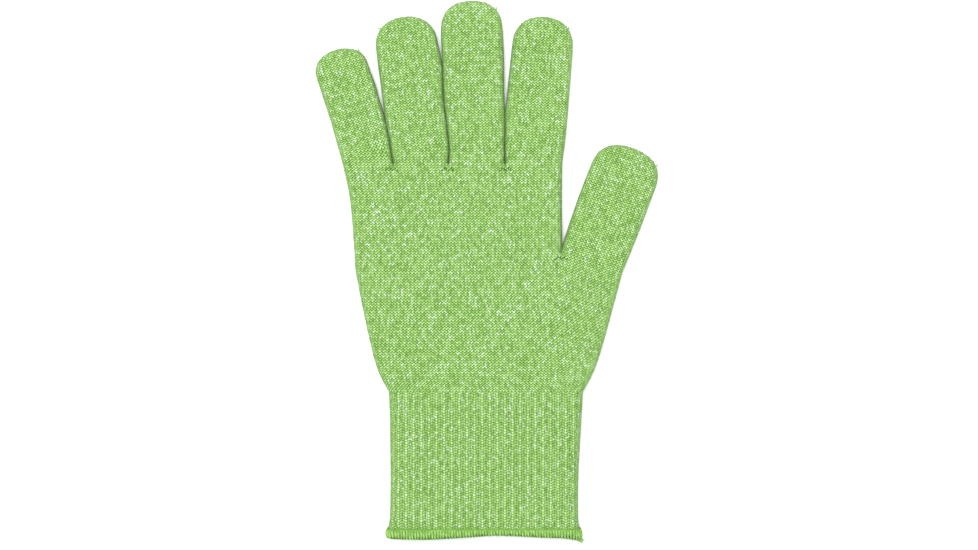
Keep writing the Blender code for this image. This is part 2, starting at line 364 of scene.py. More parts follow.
class FingerShape:
    """A finger's outline and folds, from its sides and from the joints of the frame.

    Its own frame starts at the middle of its first fold, with x to the right and y forward."""

    def __init__(self, name, joints):
        self.name = name
        self.shape = FINGERS[name]
        mine = [joint for joint in joints if joint["name"].startswith(f"{name}_")]
        self.bodies = [mine[0]["parent"]] + [joint["child"] for joint in mine]
        turn = np.radians(self.shape.lean)
        self.right = np.array([np.cos(turn), np.sin(turn)])
        self.forward = np.array([-np.sin(turn), np.cos(turn)])
        self.root = np.array(mine[0]["pos_m"][:2])
        fold_line = np.array(mine[0]["axis"][:2])
        self.past_fold = np.array([-fold_line[1], fold_line[0]])
        places = [np.array(joint["pos_m"][:2]) for joint in mine]
        self.folds = [(place - self.root) @ self.past_fold for place in places]
        self.ends = self.folds[1:] + [self.shape.length * (self.forward @ self.past_fold)]
        self.edges = {-1: self.edge(-1), 1: self.edge(1)}

    def local(self, points):
        offset = np.asarray(points) - self.root
        return np.stack([offset @ self.right, offset @ self.forward], axis=-1)

    def world(self, local):
        return self.root + local[..., :1] * self.right + local[..., 1:] * self.forward

    def past(self, points):
        """How far the points are past the finger's root line."""
        return (np.asarray(points) - self.root) @ self.past_fold

    def rounded_end(self, side, angles):
        """Points of the rounded end at these angles, in the finger's own frame."""
        shape = self.shape
        power = 2 / shape.squareness
        across = side * shape.width / 2 * np.cos(angles) ** power
        forward = shape.length - shape.tip + shape.tip * np.sin(angles) ** power
        return np.stack([across, forward], axis=-1)

    def edge(self, side):
        """Points up one side, from the root to where the rounded end starts."""
        shoulder = self.world(self.rounded_end(side, np.zeros(1)))
        return curve_through([*SIDES[self.name][0 if side < 0 else 1], shoulder[0]])

    def tip(self, side):
        return self.world(self.rounded_end(side, np.linspace(0, np.pi / 2, TIP_STEPS)[1:]))


def glove_outline(fingers):
    """The closed hand's outline, open only below the hem."""
    def up(name):
        finger = fingers[name]
        return [finger.edges[-1], finger.tip(-1), finger.tip(1)[::-1], finger.edges[1][::-1]]
    left = [curve_through(CUFF_LEFT)[::-1], curve_through(LITTLE_SIDE_LOW),
            curve_through(LITTLE_SIDE_HIGH)]
    middle = [line for name in FOUR for line in up(name)]
    right = [curve_through(INDEX_SIDE)[::-1], *up("thumb"), curve_through(THUMB_SIDE)[::-1],
             curve_through(CUFF_RIGHT)]
    return np.vstack(left + middle + right)


def from_outline(points, outline):
    """Distance of each point from the outline, and the direction towards it."""
    starts = outline[:-1]
    steps = outline[1:] - starts
    lengths = (steps**2).sum(1)
    keep = lengths > TOUCHING**2
    starts, steps, lengths = starts[keep], steps[keep], lengths[keep]
    distance = np.empty(len(points))
    direction = np.empty((len(points), 2))
    for first in range(0, len(points), CHUNK):
        part = slice(first, first + CHUNK)
        offset = points[part, None] - starts
        share = np.clip((offset * steps).sum(2) / lengths, 0, 1)
        towards = starts + share[..., None] * steps - points[part, None]
        squared = (towards**2).sum(2)
        nearest = squared.argmin(1)
        rows = np.arange(len(nearest))
        far = np.sqrt(squared[rows, nearest])
        normal = np.stack([-steps[nearest, 1], steps[nearest, 0]], axis=1)
        normal /= np.linalg.norm(normal, axis=1)[:, None]
        found = towards[rows, nearest] / np.maximum(far, TOUCHING)[:, None]
        distance[part] = far
        direction[part] = np.where(far[:, None] > TOUCHING, found, normal)
    return distance, direction


def column_shares(wales):
    """Shares across a tube, with two more columns close to its edges."""
    count = wales * COLUMNS_PER_WALE
    inner = np.arange(1, count)
    return np.concatenate([[0, FIRST_COLUMN], inner, [count - FIRST_COLUMN, count]]) / count


def all_round(upper, lower):
    """The grid of the top, then that of the underside the other way, without the shared edges."""
    return np.concatenate([upper, lower[:, -2:0:-1]], axis=1)


def tube_heights(flat, distance, rise):
    """Heights of the top and of the underside, and how far the top drops at the rim."""
    height = mix(HAND_HEIGHT, CUFF_HEIGHT, cuff_share(flat))
    crown = CROWN * (1 - np.exp(-distance / CROWN_REACH))
    sag = SAG * ripple(flat, SAG_WAVELENGTH, SEED) * rise
    near_wrist = np.exp(-((flat[:, 1] - GATHER_MIDDLE) / GATHER_REACH) ** 2)
    gathers = ripple(flat * GATHER_STRETCH, GATHER_WAVELENGTH, SEED + 1)
    gathers = GATHER * near_wrist * gathers * rise
    top = EDGE_HEIGHT + (height - EDGE_HEIGHT) * rise + crown + sag + gathers
    lowest = FLOOR_GAP + KNIT_RELIEF
    bottom = lowest + (EDGE_HEIGHT - lowest) * (1 - rise)
    return top, bottom, (height - EDGE_HEIGHT) * (1 - rise)


def cuff_share(flat):
    """Nought on the hand and one on the cuff."""
    return smoothstep((CUFF_SHAPE_START - flat[:, 1]) / CUFF_SHAPE_REACH)


def knit_relief(wale, course, ribbed, lean):
    """How far the stitches stand out of the tube, with the loops that stand out at its rim."""
    loops = wave(course)
    plain = KNIT_RELIEF * (COLUMN_SHARE * wave(wale) + (1 - COLUMN_SHARE) * loops - 0.5)
    ribs = RIB_RELIEF * (wave(wale + 0.5) ** RIB_SHARPNESS - RIB_SINK)
    ribs = ribs + RIB_LOOP_SHARE * KNIT_RELIEF * loops
    scallops = RIM_SWELL + RIM_SCALLOP * np.cos(2 * np.pi * course)
    return mix(plain, ribs, ribbed) + scallops * lean**RIM_FOCUS


def lay(skin, outline, ribbed=0.0, lift=0.0):
    """The skin's shell: its points all round the tube, with the knit's relief.

    At the rim the knit coordinates go on down the wall, so the stitches keep their size there."""
    rows, columns = skin.places.shape[:2]
    flat = skin.places.reshape(-1, 2)
    distance, outward = from_outline(flat, outline)
    rim = mix(RIM, CUFF_RIM, cuff_share(flat))
    lean = 1 - np.minimum(distance / rim, 1)
    rise = np.sqrt(1 - lean**2)
    top, bottom, drop = tube_heights(flat, distance, rise)

    def grid(*values):
        return np.column_stack(values).reshape(rows, columns, -1)

    out = outward * lean[:, None]
    points = all_round(grid(flat, top), grid(flat, bottom))
    directions = all_round(grid(out, rise), grid(out, -rise))
    wale = all_round(skin.wale, skin.wale)
    course = all_round(skin.course, skin.course)
    lean = grid(lean)[..., 0]
    relief = knit_relief(wale, course, ribbed, all_round(lean, lean)) + lift
    down_wall = grid(outward * drop[:, None])
    down_wall = all_round(down_wall, down_wall)
    return Shell(points + directions * relief[..., None],
                 wale + down_wall[..., 0] / skin.column, course + down_wall[..., 1] / COURSE)


def grid_faces(rows, around):
    """Quads between the closed rows of a tube, facing outward."""
    row = np.arange(rows - 1)[:, None] * around
    column = np.arange(around)
    after = (column + 1) % around
    corners = [row + column, row + around + column, row + around + after, row + after]
    return np.stack(corners, axis=-1).reshape(-1, 4)


def fan_faces(ring, pole):
    """Triangles between a closed ring of points and a pole."""
    after = np.roll(ring, -1)
    return [(int(a), pole, int(b)) for a, b in zip(ring, after)]


def new_piece(name, points, faces, material, attributes):
    """A smooth mesh object of these points and faces, with its float attributes."""
    mesh = bpy.data.meshes.new(name)
    mesh.from_pydata(points.tolist(), [], [tuple(face) for face in faces])
    for key, values in attributes.items():
        layer = mesh.attributes.new(key, "FLOAT", "POINT")
        layer.data.foreach_set("value", np.asarray(values, np.float32))
    mesh.shade_smooth()
    mesh.materials.append(material)
    piece = bpy.data.objects.new(name, mesh)
    bpy.context.scene.collection.objects.link(piece)
    return piece


def shell_piece(name, shell, material, first=0, last=None, pole=None):
    """A piece of the rows of a shell from first to last, closed at the pole if it has one."""
    part = slice(first, len(shell.points) if last is None else last + 1)
    rows, around = shell.points[part].shape[:2]
    faces = grid_faces(rows, around).tolist()
    flat = shell.points[part].reshape(-1, 3)
    wale = shell.wale[part].ravel()
    course = shell.course[part].ravel()
    if pole is not None:
        flat = np.vstack([flat, pole])
        wale = np.append(wale, wale[-around:].mean())
        course = np.append(course, course[-1])
        faces += fan_faces(np.arange((rows - 1) * around, rows * around), rows * around)
    return new_piece(name, flat, faces, material, {"wale": wale, "course": course})


# ---------------------------------------------------------------- materials


class Nodes:
    """Short calls that add nodes to one material."""

    def __init__(self, name):
        self.material = bpy.data.materials.new(name)
        self.material.use_nodes = True
        self.tree = self.material.node_tree
        self.shader = self.tree.nodes["Principled BSDF"]

    def add(self, kind, **settings):
        node = self.tree.nodes.new(kind)
        for key, value in settings.items():
            setattr(node, key, value)
        return node

    def link(self, source, target):
        self.tree.links.new(source, target)

    def put(self, target, value):
        if isinstance(value, bpy.types.NodeSocket):
            self.link(value, target)
        else:
            target.default_value = value

    def math(self, operation, *values):
        """The result of one calculation with these values or sockets."""
        node = self.add("ShaderNodeMath", operation=operation)
        for target, value in zip(node.inputs, values):
            self.put(target, value)
        return node.outputs[0]

    def attribute(self, name):
        return self.add("ShaderNodeAttribute", attribute_name=name).outputs["Fac"]

    def position(self):
        return self.add("ShaderNodeTexCoord").outputs["Object"]

    def vector(self, x, y, z=0.0):
        node = self.add("ShaderNodeCombineXYZ")
        for target, value in zip(node.inputs, (x, y, z)):
            self.put(target, value)
        return node.outputs[0]

    def white_noise(self, x, y, z=0.0):
        node = self.add("ShaderNodeTexWhiteNoise", noise_dimensions="3D")
        self.link(self.vector(x, y, z), node.inputs["Vector"])
        return node.outputs["Value"]

    def noise(self, vector, scale, detail=2.0):
        node = self.add("ShaderNodeTexNoise")
        self.put(node.inputs["Vector"], vector)
        node.inputs["Scale"].default_value = scale
        node.inputs["Detail"].default_value = detail
        return node.outputs["Fac"]

    def ramp(self, value, stops):
        node = self.add("ShaderNodeValToRGB")
        band = node.color_ramp
        while len(band.elements) < len(stops):
            band.elements.new(0.5)
        for element, (place, colour) in zip(band.elements, stops):
            element.position = place
            element.color = colour
        self.put(node.inputs["Fac"], value)
        return node.outputs["Color"]

    def tint(self, colour, value):
        """The colour times the value."""
        node = self.add("ShaderNodeVectorMath", operation="SCALE")
        self.put(node.inputs[0], colour)
        self.put(node.inputs["Scale"], value)
        return node.outputs["Vector"]

    def finish(self, colour, roughness, height, bump_size):
        """The material of this colour, with bumps of this height, depth and strength."""
        self.put(self.shader.inputs["Base Color"], colour)
        self.shader.inputs["Roughness"].default_value = roughness
        self.shader.inputs["Specular IOR Level"].default_value = SPECULAR
        self.shader.inputs["Sheen Weight"].default_value = SHEEN
        self.shader.inputs["Sheen Roughness"].default_value = SHEEN_ROUGHNESS
        bump = self.add("ShaderNodeBump")
        bump.inputs["Distance"].default_value, bump.inputs["Strength"].default_value = bump_size
        self.link(height, bump.inputs["Height"])
        self.link(bump.outputs["Normal"], self.shader.inputs["Normal"])
        return self.material


def linear(red, green, blue):
    """A linear colour from 8-bit display values."""
    share = np.array([red, green, blue]) / 255
    values = np.where(share <= 0.04045, share / 12.92, ((share + 0.055) / 1.055) ** 2.4)
    return (*values.tolist(), 1.0)


# The yarn's colours, from its greenest stitches to its palest flecks
YARN_STOPS = ((0.00, linear(126, 174, 84)), (0.30, linear(146, 193, 102)),
              (0.65, linear(164, 210, 120)), (0.90, linear(178, 219, 142)),
              (0.97, linear(196, 228, 176)), (1.00, linear(214, 235, 208)))


def ridges(nodes, value, power):
    """Zero at every whole number and one half way between them."""
    height = nodes.math("SINE", nodes.math("MULTIPLY", nodes.math("FRACT", value), np.pi))
    return nodes.math("POWER", nodes.math("ABSOLUTE", height), power)


def wandering(nodes, value, place, scale, reach):
    """The value with a slow random drift over the surface, up to about half of reach each way."""
    drift = nodes.math("SUBTRACT", nodes.noise(place, scale, 1.0), 0.5)
    return nodes.math("ADD", value, nodes.math("MULTIPLY", drift, reach))


def shaded(nodes, value, depth):
    """The value scaled so that it falls by this depth from one."""
    return nodes.math("ADD", 1 - depth, nodes.math("MULTIPLY", value, depth))


def slanted_course(nodes, wale, course, ribbed):
    """The course, moved half a stitch between the middle of a column and its sides."""
    middle = nodes.math("FRACT", nodes.math("ADD", wale, 0.5) if ribbed else wale)
    off_middle = nodes.math("ABSOLUTE", nodes.math("SUBTRACT", middle, 0.5))
    step = nodes.add("ShaderNodeMapRange", interpolation_type="SMOOTHERSTEP")
    nodes.put(step.inputs["Value"], nodes.math("MULTIPLY", off_middle, 2.0))
    nodes.put(step.inputs["From Min"], 0.5 - STEP_REACH)
    nodes.put(step.inputs["From Max"], 0.5 + STEP_REACH)
    slant = nodes.math("MULTIPLY", step.outputs["Result"], STITCH_SLANT)
    return nodes.math("SUBTRACT", course, slant)


def yarn_colour(nodes, leg, row, place):
    """A random tone of the yarn for each leg of a stitch, in faint patches."""
    pick = nodes.white_noise(nodes.math("FLOOR", leg), nodes.math("FLOOR", row))
    patch = nodes.math("SUBTRACT", nodes.noise(place, PATCH_SCALE, 3.0), 0.5)
    pick = nodes.math("ADD", pick, nodes.math("MULTIPLY", patch, PATCHINESS))
    return nodes.ramp(pick, YARN_STOPS)


def rib_light(nodes, wale):
    """Painted light: brighter along the middle of each raised rib."""
    turn = nodes.math("COSINE", nodes.math("MULTIPLY", wale, 2 * np.pi))
    height = nodes.math("ADD", 0.5, nodes.math("MULTIPLY", 0.5, turn))
    ridge = nodes.math("POWER", height, RIDGE_SHARPNESS)
    return nodes.math("ADD", RIB_SHADE, nodes.math("MULTIPLY", ridge, RIB_LIGHT))


def knit_material(name, ribbed):
    """Plain knit, or the ribbed knit of the cuff: stitches of mottled yarn, with painted shade in
    the gaps between them and painted light along their legs.
    """
    nodes = Nodes(name)
    place = nodes.position()
    wale_wander = RIB_WANDER if ribbed else WALE_WANDER
    wale = wandering(nodes, nodes.attribute("wale"), place, WALE_DRIFT_SCALE, wale_wander)
    course = wandering(nodes, nodes.attribute("course"), place, COURSE_DRIFT_SCALE, COURSE_WANDER)
    slanted = slanted_course(nodes, wale, course, ribbed)
    column = nodes.math("ADD", nodes.math("MULTIPLY", wale, WALES_PER_RIB), 0.5) if ribbed else wale
    across = ridges(nodes, column, GAP_SHARPNESS)
    across = shaded(nodes, across, RIB_COLUMN_DEPTH if ribbed else COLUMN_DEPTH)
    lengthwise = ridges(nodes, slanted, GAP_SHARPNESS)
    lengthwise = shaded(nodes, lengthwise, RIB_COURSE_DEPTH if ribbed else 1.0)
    body = nodes.math("MULTIPLY", across, lengthwise)
    leg = nodes.math("MULTIPLY", wale, LEGS_PER_RIB if ribbed else LEGS_PER_WALE)
    colour = yarn_colour(nodes, leg, slanted, place)
    # Painted shade and light: dark in the gaps between stitches, bright along the middle of each
    # leg
    shade = nodes.math("ADD", GAP_SHADE, nodes.math("MULTIPLY", body, YARN_SHADE))
    # On the cuff, painted light along the middle of each rib
    if ribbed:
        shade = nodes.math("MULTIPLY", shade, rib_light(nodes, wale))
    return nodes.finish(nodes.tint(colour, shade), KNIT_ROUGHNESS, body, KNIT_BUMP)


def thread_material(name, dark, bright):
    """Twisted thread: plies wind round it, with painted shade in the grooves between them."""
    nodes = Nodes(name)
    turn = nodes.math("MULTIPLY", nodes.attribute("around"), PLIES)
    ply = ridges(nodes, nodes.math("ADD", nodes.attribute("along"), turn), PLY_SHARPNESS)
    place = nodes.position()
    tone = nodes.noise(place, THREAD_TONE_SCALE, 3.0)
    colour = nodes.ramp(tone, tuple(zip(THREAD_TONES, (dark, bright))))
    # Painted shade in the grooves between the plies
    shade = shaded(nodes, ply, 1 - THREAD_GAP_SHADE)
    fibres = nodes.math("MULTIPLY", nodes.noise(place, FIBRE_SCALE, 2.0), FIBRE_SHARE)
    height = nodes.math("ADD", ply, fibres)
    return nodes.finish(nodes.tint(colour, shade), THREAD_ROUGHNESS, height, THREAD_BUMP)


def band_material(name, dark, bright):
    """The band under the overlock thread, which shows between its turns: painted shade, darker in
    upright lines.
    """
    nodes = Nodes(name)
    upright = ridges(nodes, nodes.attribute("wale"), 1.0)
    tone = nodes.noise(nodes.position(), BAND_TONE_SCALE, 3.0)
    colour = nodes.ramp(tone, tuple(zip(BAND_TONES, (dark, bright))))
    # Painted shade in upright lines, one for each turn of the thread
    shade = shaded(nodes, upright, 1 - BAND_SHADE)
    return nodes.finish(nodes.tint(colour, shade), BAND_ROUGHNESS, upright, BAND_BUMP)


def floor_material():
    nodes = Nodes("pale_floor")
    nodes.shader.inputs["Base Color"].default_value = FLOOR_COLOUR
    nodes.shader.inputs["Roughness"].default_value = FLOOR_ROUGHNESS
    nodes.shader.inputs["Specular IOR Level"].default_value = 0.0
    return nodes.material


# ---------------------------------------------------------------- threads


def tube_arrays(line, radius, sides=8):
    """Points, faces and attributes of a round closed thread along the line of points."""
    line = np.asarray(line, float)
    radius = np.broadcast_to(radius, len(line))
    heading = np.gradient(line, axis=0)
    heading /= np.linalg.norm(heading, axis=1)[:, None]
    across = np.zeros_like(line)
    start = np.cross(heading[0], (0.0, 0.0, 1.0))
    across[0] = start / np.linalg.norm(start)
    for i in range(1, len(line)):
        kept = across[i - 1] - (across[i - 1] @ heading[i]) * heading[i]
        across[i] = kept / np.linalg.norm(kept)
    other = np.cross(heading, across)
    angles = (2 * np.pi * np.arange(sides) / sides)[:, None]
    out = across[:, None] * np.cos(angles) + other[:, None] * np.sin(angles)
    rings = line[:, None] + radius[:, None, None] * out
    points = np.vstack([rings.reshape(-1, 3), line[:1], line[-1:]])
    faces = grid_faces(len(line), sides)[:, ::-1].tolist()
    last = (len(line) - 1) * sides
    first_pole, last_pole = len(points) - 2, len(points) - 1
    faces += fan_faces(np.arange(sides), first_pole)
    faces += [face[::-1] for face in fan_faces(np.arange(last, last + sides), last_pole)]
    steps = np.linalg.norm(np.diff(line, axis=0), axis=1)
    lengths = np.concatenate([[0.0], np.cumsum(steps)]) / (TWIST_RADII * radius.max())
    along_values = np.concatenate([np.repeat(lengths, sides), [lengths[0], lengths[-1]]])
    around_values = np.concatenate([np.tile(np.arange(sides) / sides, len(line)), [0.0, 0.0]])
    return points, faces, {"along": along_values, "around": around_values}


def thread_piece(name, lines, radius, material, sides=8):
    """One piece of one or more threads."""
    points, faces = [], []
    extra = {"along": [], "around": []}
    count = 0
    for line in lines:
        made, shell, values = tube_arrays(line, radius, sides)
        points.append(made)
        faces += [tuple(i + count for i in face) for face in shell]
        for key in extra:
            extra[key].append(values[key])
        count += len(made)
    joined = {key: np.concatenate(values) for key, values in extra.items()}
    return new_piece(name, np.vstack(points), faces, material, joined)


# ---------------------------------------------------------------- the glove


def finger_side(finger, side, low_levels, end_rows, tip_rows):
    """The end points of the finger's rows on one side, up to just before the middle of the tip."""
    line = finger.edges[side]
    past = finger.past(line)
    low = np.stack([np.interp(low_levels, past, line[:, i]) for i in range(2)], axis=1)
    forward = finger.local(line)[:, 1]
    start = finger.local(low[-1])[1]
    levels = np.linspace(start, finger.shape.length - finger.shape.tip, end_rows + 1)[1:]
    high = np.stack([np.interp(levels, forward, line[:, i]) for i in range(2)], axis=1)
    angles = np.linspace(0, np.pi / 2, tip_rows + 1)[1:-1]
    return np.vstack([low, high, finger.world(finger.rounded_end(side, angles))])


def finger_skin(finger, first_wale):
    """The finger's skin, and how far each of its rows is past the root.

    Rows lie along the folds up to past the last one, and then turn square to the finger."""
    shape = finger.shape
    shares = column_shares(shape.wales)
    spacing = COURSE / FINGER_ROWS
    last_low = mix(finger.folds[-1], finger.ends[-1], SQUARE_ROWS_SHARE)
    end_rows = round((shape.length - shape.tip - last_low) / spacing)
    tip_rows = round(TIP_ROWS_SHARE * shape.tip / spacing)
    sides = []
    for side in (-1, 1):
        root = finger.past(finger.edges[side])[0]
        levels = np.linspace(root, last_low, round(last_low / spacing) + 1)
        sides.append(finger_side(finger, side, levels, end_rows, tip_rows))
    left, right = sides
    places = mix(left[:, None], right[:, None], shares[None, :, None])
    local = finger.local(places)
    past = finger.past(places)
    settled = smoothstep(past / SETTLE_LENGTH)
    wale = mix(shares[None] * shape.wales, local[..., 0] / WALE + shape.wales / 2, settled)
    course = (local[..., 1] - local[:1, :, 1] * (1 - settled)) / COURSE
    return Skin(places, wale + first_wale, course, WALE), past.mean(1)


def make_finger(finger, outline, material, first_wale):
    """The finger's pieces: each crosses one fold and stands for one knitted section."""
    skin, past = finger_skin(finger, first_wale)
    shell = lay(skin, outline)
    tip = finger.world(np.array([0.0, finger.shape.length]))
    first = 0
    for i, (fold, end) in enumerate(zip(finger.folds, finger.ends)):
        before, body = finger.bodies[i:i + 2]
        final = i == len(finger.folds) - 1
        last = len(past) - 1 if final else int(np.abs(past - mix(fold, end, SPLIT_SHARE)).argmin())
        pole = np.array([*tip, EDGE_HEIGHT]) if final else None
        piece = shell_piece(f"{body}_skin", shell, material, first, last, pole)
        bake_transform(piece)
        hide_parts(body)
        first = last


def spanned(low, high, left, right, rows):
    """A grid between a low and a high row of points, with its sides on the left and right lines."""
    rise = np.linspace(0, 1, rows + 1)
    grid = mix(low[None], high[None], rise[:, None, None])
    steps = np.linalg.norm(np.diff(low, axis=0), axis=1)
    steps = steps + np.linalg.norm(np.diff(high, axis=0), axis=1)
    share = (np.concatenate([[0.0], np.cumsum(steps)]) / steps.sum())[None, :, None]
    left_pull = along(left, rise) - grid[:, 0]
    right_pull = along(right, rise) - grid[:, -1]
    return grid + left_pull[:, None] * (1 - share) + right_pull[:, None] * share


def joined_rows(parts):
    """Rows of points end to end, without the repeated ones."""
    return np.vstack([parts[0]] + [part[1:] for part in parts[1:]])


def root_row(finger):
    """Points across the finger's root, one for each column."""
    shares = column_shares(finger.shape.wales)
    left, right = (np.array(side[0]) for side in SIDES[finger.name])
    return mix(left[None], right[None], shares[:, None])


def root_wales(names):
    """Knitted column of each grid column along the roots of these fingers."""
    found, base = [], 0
    for i, name in enumerate(names):
        wales = FINGERS[name].wales
        values = column_shares(wales) * wales + base
        found.append(values if i == 0 else values[1:])
        base += wales
    return np.concatenate(found)


def even_row(left, right, wales):
    """A straight row of columns for these wales, evenly apart and closer at the ends."""
    places = wales / wales.max()
    return mix(np.array(left)[None], np.array(right)[None], places[:, None])


def palm_skins(fingers):
    """The upper and lower palm: the lower also carries the thumb's columns."""
    upper_wales = root_wales(FOUR)
    rows = PALM_ROWS * round(UPPER_PALM_LENGTH / COURSE)
    fork_row = even_row(LITTLE_SIDE_LOW[-1], THUMB_INDEX[0], upper_wales)
    root = joined_rows([root_row(fingers[name]) for name in FOUR])
    left, right = curve_through(LITTLE_SIDE_HIGH), curve_through(INDEX_SIDE)
    places = spanned(fork_row, root, left, right, rows)
    count = np.arange(-rows, 1)[:, None] / PALM_ROWS
    upper = Skin(places, *np.broadcast_arrays(upper_wales[None], count), WALE)

    lower_wales = root_wales((*FOUR, "thumb"))
    rows_low = PALM_ROWS * round(LOWER_PALM_LENGTH / COURSE)
    wrist_row = even_row(LITTLE_SIDE_LOW[0], THUMB_SIDE[0], lower_wales)
    top = joined_rows([fork_row, root_row(fingers["thumb"])])
    left, right = curve_through(LITTLE_SIDE_LOW), curve_through(THUMB_SIDE)
    places = spanned(wrist_row, top, left, right, rows_low)
    rise = np.linspace(0, 1, rows_low + 1)[:, None]
    middle = upper_wales.max() / 2
    wale = middle + (lower_wales[None] - middle) * mix(WRIST_WALES, 1.0, smoothstep(rise))
    count = np.arange(-rows_low, 1)[:, None] / PALM_ROWS - rows / PALM_ROWS
    lower = Skin(places, *np.broadcast_arrays(wale, count), WALE)
    return {"palm_upper": upper, "palm_lower": lower}


def make_palm(fingers, outline, material):
    for name, skin in palm_skins(fingers).items():
        piece = shell_piece(f"{name}_skin", lay(skin, outline), material)
        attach(piece, "palm")
        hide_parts(name)


def cuff_grid(start, end, rows):
    """Rows across the cuff between two places along it."""
    wales = root_wales((*FOUR, "thumb"))
    places = wales / wales.max()
    y = np.linspace(start, end, rows + 1)
    left, right = curve_through(CUFF_LEFT), curve_through(CUFF_RIGHT)
    x_left = np.interp(-y, -left[:, 1], left[:, 0])
    x_right = np.interp(-y, -right[:, 1], right[:, 0])
    x = mix(x_left[:, None], x_right[:, None], places[None])
    return np.stack([x, np.repeat(y[:, None], len(places), axis=1)], axis=-1)


def cuff_skin(start, end, rows):
    """The cuff's skin between two places along it, with its columns counted in ribs."""
    places = cuff_grid(start, end, rows)
    rib = (places[..., 0] - FIRST_RIB) / RIB
    return Skin(places, rib, (places[..., 1] - WRIST) / CUFF_COURSE, RIB)


def make_cuff(outline, material):
    """The ribbed cuff, with its inner face, from the wrist down to under the hem."""
    skin = cuff_skin(WRIST, CUFF_END, CUFF_ROWS)
    ribbed = smoothstep((WRIST - skin.places[..., 1]) / RIB_FADE)
    outer = lay(skin, outline, all_round(ribbed, ribbed))
    lining = lay(cuff_skin(CUFF_END, WRIST, INNER_ROWS), outline, 1.0, -WALL)
    both = Shell(*(np.concatenate(pair)[::-1] for pair in zip(outer, lining)))
    piece = shell_piece("cuff_skin", both, material)
    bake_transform(piece)
    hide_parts("wrist_cuff")


def hem_edge(x):
    """Where the hem ends below, across the glove."""
    line = curve_through(HEM_EDGE)
    return np.interp(x, line[:, 0], line[:, 1])


def whole_stitches(places):
    """A skin of these places in which every point is at the start of a stitch."""
    nought = np.zeros(places.shape[:2])
    return Skin(places, nought, nought, WALE)


class HemPath:
    """The way round the mouth of the glove: places on it and its outward directions."""

    def __init__(self, outline):
        shell = lay(whole_stitches(cuff_grid(*HEM_LEVEL, 1)), outline, ribbed=1.0)
        ring = shell.points[0][:, [0, 2]]
        self.ring = np.vstack([ring, ring[:1]])
        steps = np.linalg.norm(np.diff(self.ring, axis=0), axis=1)
        self.places = np.concatenate([[0.0], np.cumsum(steps)])
        self.length = self.places[-1]

    def at(self, travel):
        """Points (x, z) and outward unit directions at these distances round the mouth."""
        travel = np.asarray(travel)
        step = self.sample(travel + HEM_REACH) - self.sample(travel - HEM_REACH)
        step /= np.linalg.norm(step, axis=1)[:, None]
        return self.sample(travel), np.column_stack([-step[:, 1], step[:, 0]])

    def sample(self, travel):
        travel = travel % self.length
        return np.stack([np.interp(travel, self.places, self.ring[:, i]) for i in range(2)], axis=1)


def opening_at(x):
    """How far the band stops short of the thread's edge: more near the drooping corner."""
    return CORNER_OPENING * np.exp(-((x - CORNER) / CORNER_WIDTH) ** 4)


def above_floor(line, radius=0.0):
    """The line, raised where its thread would sink into the floor."""
    return np.column_stack([line[:, :2], np.maximum(line[:, 2], FLOOR_GAP + radius)])


def make_band(path, material):
    """The band round the mouth of the glove."""
    travel = np.linspace(0, path.length, BAND_POINTS, endpoint=False)
    here, outward = path.at(travel)
    edge = hem_edge(here[:, 0]) + BAND_EDGE_GAP + opening_at(here[:, 0])
    rings = []
    for share, offset in BAND_PROFILE:
        x, z = (here + outward * offset).T
        rings.append(above_floor(np.column_stack([x, mix(HEM_TOP, edge, share), z])))
    wale = np.tile(travel / HEM_PITCH, len(BAND_PROFILE))
    faces = grid_faces(len(BAND_PROFILE), BAND_POINTS)[:, ::-1]
    return new_piece("hem_band", np.vstack(rings), faces.tolist(), material, {"wale": wale})


def overlock_line(path):
    """The needle thread's turns, down the outside and up the inside of the edge, and its radius."""
    random = np.random.default_rng(SEED)
    turns = int(path.length / HEM_PITCH)
    pitch = path.length / turns
    points = []
    for turn in range(turns):
        jitter = random.normal(0, TURN_JITTER)
        depth = random.normal(0, DEPTH_JITTER)
        for share, drop, offset, radius in TURN_PROFILE:
            here, outward = path.at([(turn + TURN_LEAN * share) * pitch + jitter * drop])
            x, z = (here + outward * offset)[0]
            y = mix(TURN_TOP, float(hem_edge(x)) + HEM_THREAD + depth, drop)
            points.append((x, y, z, radius))
    line = curve_through(points, 3)
    return above_floor(line[:, :3], line[:, 3]), line[:, 3]


def chain_line(path):
    """The looper thread, which runs in and out along the very edge."""
    steps = int(path.length / HEM_PITCH) * 2
    points = []
    for i in range(steps):
        offset, lift = CHAIN_STEPS[i % 2]
        here, outward = path.at([i * path.length / steps])
        x, z = (here + outward * offset)[0]
        points.append((x, float(hem_edge(x)) + lift, z))
    return above_floor(curve_through(points, 3), EDGE_THREAD)


def make_hem(outline, band_look, thread_look, edge_look):
    """A band round the mouth of the glove, and the overlock thread wound over its edge."""
    path = HemPath(outline)
    band = make_band(path, band_look)
    line, radius = overlock_line(path)
    overlock = thread_piece("hem_overlock", [line], radius, thread_look, sides=7)
    # The chain is a real looper thread, drawn in the dark thread as painted shade along the bottom
    # of the edge
    chain = thread_piece("hem_edge_chain", [chain_line(path)], EDGE_THREAD, edge_look, sides=7)
    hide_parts("cuff_hem")
    for piece in (band, overlock, chain):
        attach(piece, "cuff")


def surface_height(outline, points):
    """Height of the upper knit at these places."""
    shell = lay(whole_stitches(np.asarray(points, float)[None]), outline)
    return shell.points[0, :len(points), 2]


